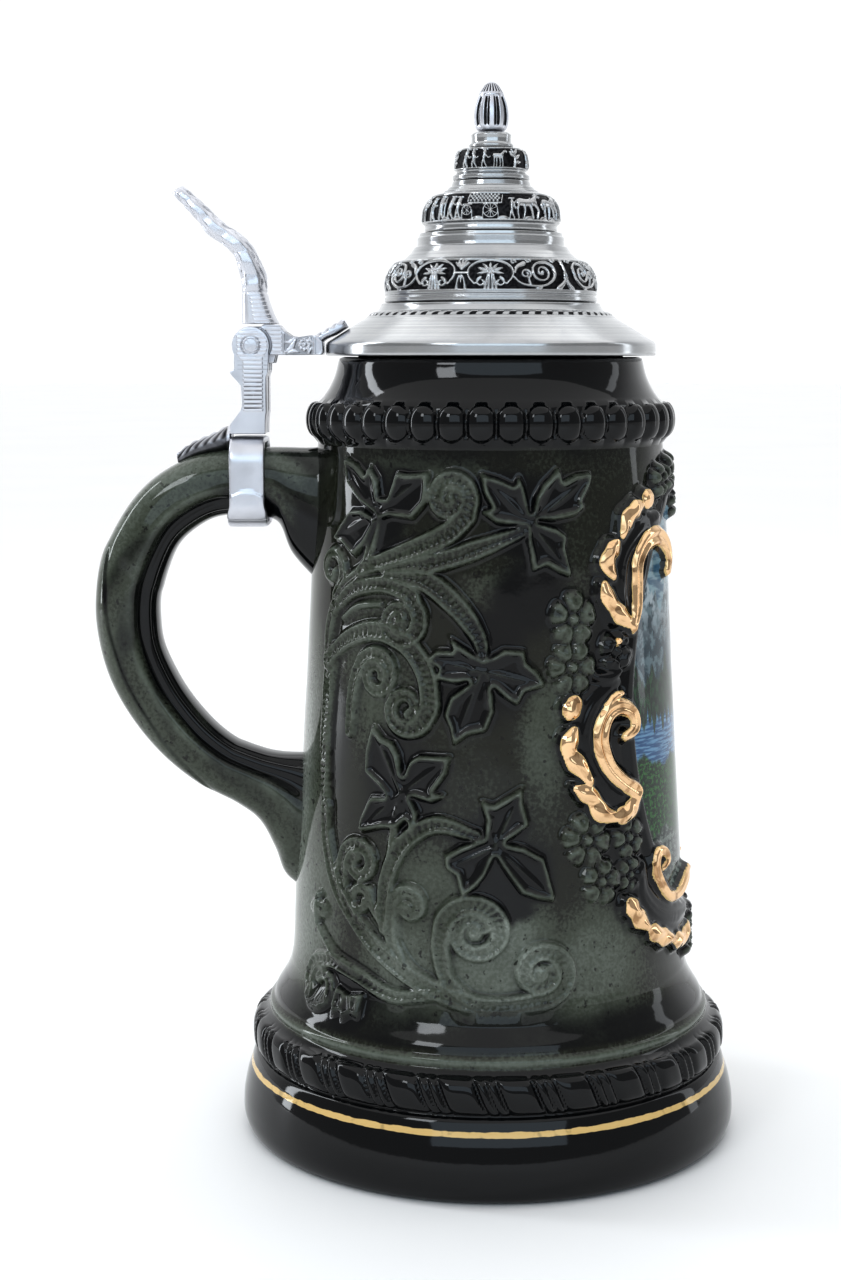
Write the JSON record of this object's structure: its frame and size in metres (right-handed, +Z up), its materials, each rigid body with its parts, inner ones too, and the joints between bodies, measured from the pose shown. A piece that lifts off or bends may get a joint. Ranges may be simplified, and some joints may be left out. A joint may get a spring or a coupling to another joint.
{
  "type": "lidded stein",
  "caption": "Relief-moulded stoneware beer stein with a looped handle and a hinged, stepped pewter lid opened by a thumb lift.",
  "frame": {"origin": "centre of the flat base, on the axis of the mug", "axes": "+Z up along the mug's axis, handle towards -X, painted front towards +X, hinge pin along Y"},
  "size_m": [0.1696, 0.132, 0.275],
  "materials": {
    "glaze": "gloss",
    "pewter_turned": "satin",
    "pewter_cast": "satin"
  },
  "bodies": {
    "mug": {"mug_body": "glaze", "mug_handle": "glaze", "handle_strap": "pewter_turned", "strap_leaf": "pewter_cast", "hinge_post": "pewter_cast", "hinge_pin": "pewter_turned"},
    "lid": {"lid_arm": "pewter_cast", "thumb_lift": "pewter_cast", "lid_flange": "pewter_turned", "lid_lower_dome": "pewter_turned", "lid_middle_dome": "pewter_turned", "lid_upper_dome": "pewter_cast", "finial_collar": "pewter_turned", "finial_bud": "pewter_cast"}
  },
  "joints": [
    {"name": "lid_hinge", "type": "hinge", "parent": "mug", "child": "lid", "pos_m": [-0.0619, 0, 0.208], "axis": [0, -1, 0], "range_deg": [0, 100]}
  ]
}
